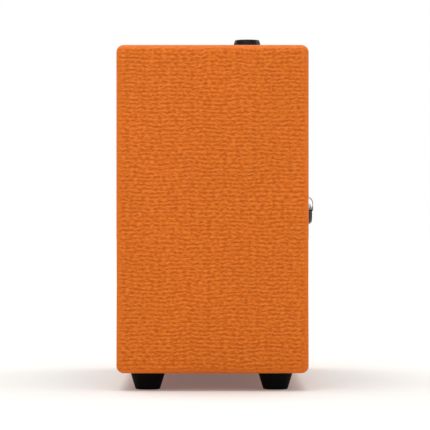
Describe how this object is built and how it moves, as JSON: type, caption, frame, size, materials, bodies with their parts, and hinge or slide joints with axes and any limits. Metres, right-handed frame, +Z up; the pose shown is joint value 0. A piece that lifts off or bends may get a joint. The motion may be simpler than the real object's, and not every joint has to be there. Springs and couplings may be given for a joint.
{
  "type": "mini guitar amplifier",
  "caption": "Small battery-powered guitar amplifier in orange woven-look vinyl: tapered rubber feet, recessed top controls with flared knobs, front speaker grille with a bright badge.",
  "frame": {"origin": "centre of the object's box, at the level the feet stand on", "axes": "+X to the right of someone facing the grille, -Y out of the grille, +Z up"},
  "size_m": [0.148, 0.082, 0.1455],
  "materials": {
    "vinyl": "woven-look embossed vinyl covering",
    "mdf_board": "raw MDF",
    "pine": "sawn pine",
    "grille_cloth": "woven speaker cloth",
    "perforated_steel": "black paint",
    "piping": "extruded PVC",
    "badge_chrome": "polished plating",
    "badge_black": "moulded",
    "steel": "stamped spring steel",
    "rubber": "moulded rubber",
    "steel_screw": "black zinc",
    "back_abs": "textured ABS",
    "battery_abs": "moulded ABS",
    "battery_can": "printed steel can",
    "snap_plastic": "moulded",
    "panel_aluminium": "brushed and anodised",
    "circuit_board": "glass-epoxy with solder mask",
    "pot_metal": "pressed",
    "shaft_metal": "turned",
    "knob_plastic": "moulded phenolic",
    "nickel": "nickel plate",
    "jack_plastic": "moulded nylon",
    "switch_body": "moulded phenolic",
    "lamp_red": "clear tinted epoxy",
    "chip_black": "moulded epoxy",
    "basket_steel": "black paint",
    "gasket_card": "pressed card",
    "cone_paper": "felted paper",
    "surround_cloth": "doped cloth",
    "spider_cloth": "resin-dipped cotton",
    "coil_copper": "enamelled copper wire",
    "plate_steel": "zinc plate",
    "ferrite": "sintered ferrite",
    "inlet_plastic": "moulded",
    "socket_plastic": "moulded",
    "wire_pvc": "PVC insulation"
  },
  "bodies": {
    "cabinet": {"vinyl_covering": "vinyl", "top_board": "mdf_board", "bottom_board": "mdf_board", "left_board": "mdf_board", "right_board": "mdf_board", "baffle_board": "mdf_board", "glue_blocks": "pine", "grille_cloth": "grille_cloth", "grille_guard": "perforated_steel", "grille_piping": "piping", "badge_dome": "badge_chrome", "badge_plinth": "badge_black", "badge_nuts": "steel", "foot_front_left": "rubber", "foot_front_right": "rubber", "foot_rear_left": "rubber", "foot_rear_right": "rubber", "foot_screws": "steel_screw", "speaker_screws": "steel_screw", "control_panel_screws": "steel_screw", "back_panel_screws": "steel_screw", "back_panel": "back_abs", "battery_tray": "battery_abs", "battery": "battery_can", "battery_snap": "snap_plastic", "control_panel": "panel_aluminium", "control_board": "circuit_board", "gain_pot": "pot_metal", "tone_pot": "pot_metal", "volume_pot": "pot_metal", "pot_nuts": "nickel", "input_jack_bush": "nickel", "input_jack_nut": "nickel", "input_jack_contacts": "nickel", "power_switch_nut": "nickel", "input_jack_housing": "jack_plastic", "power_switch_body": "switch_body", "power_lamp": "lamp_red", "amplifier_chip": "chip_black", "speaker_basket": "basket_steel", "speaker_gasket": "gasket_card", "speaker_surround": "surround_cloth", "speaker_spider": "spider_cloth", "magnet_front_plate": "plate_steel", "magnet_pole": "plate_steel", "speaker_magnet": "ferrite", "power_inlet": "inlet_plastic", "audio_sockets": "socket_plastic", "wiring": "wire_pvc"},
    "gain_control": {"gain_shaft": "shaft_metal", "gain_knob": "knob_plastic"},
    "tone_control": {"tone_shaft": "shaft_metal", "tone_knob": "knob_plastic"},
    "volume_control": {"volume_shaft": "shaft_metal", "volume_knob": "knob_plastic"},
    "switch_lever": {"power_switch_lever": "nickel"},
    "battery_cover": {"battery_lid": "battery_abs"},
    "cone_assembly": {"speaker_cone": "cone_paper", "speaker_dust_cap": "cone_paper", "voice_coil": "coil_copper"}
  },
  "joints": [
    {"name": "gain_turn", "type": "hinge", "parent": "cabinet", "child": "gain_control", "pos_m": [-0.0275, -0.0126, 0.1337], "axis": [0, 0, 1], "range_deg": [-150, 150]},
    {"name": "tone_turn", "type": "hinge", "parent": "cabinet", "child": "tone_control", "pos_m": [-0.0055, -0.0126, 0.1337], "axis": [0, 0, 1], "range_deg": [-150, 150]},
    {"name": "volume_turn", "type": "hinge", "parent": "cabinet", "child": "volume_control", "pos_m": [0.0165, -0.0126, 0.1337], "axis": [0, 0, 1], "range_deg": [-150, 150]},
    {"name": "power_flip", "type": "hinge", "parent": "cabinet", "child": "switch_lever", "pos_m": [0.048, -0.0126, 0.134], "axis": [1, 0, 0], "range_deg": [0, 24]},
    {"name": "battery_lid_swing", "type": "hinge", "parent": "cabinet", "child": "battery_cover", "pos_m": [0, 0.0378, 0.0243], "axis": [-1, 0, 0], "range_deg": [0, 100]},
    {"name": "cone_travel", "type": "slide", "parent": "cabinet", "child": "cone_assembly", "axis": [0, -1, 0], "range_m": [-0.0015, 0.0015], "stiffness_N_per_m": 1500, "deforming": ["speaker_surround", "speaker_spider"]}
  ]
}
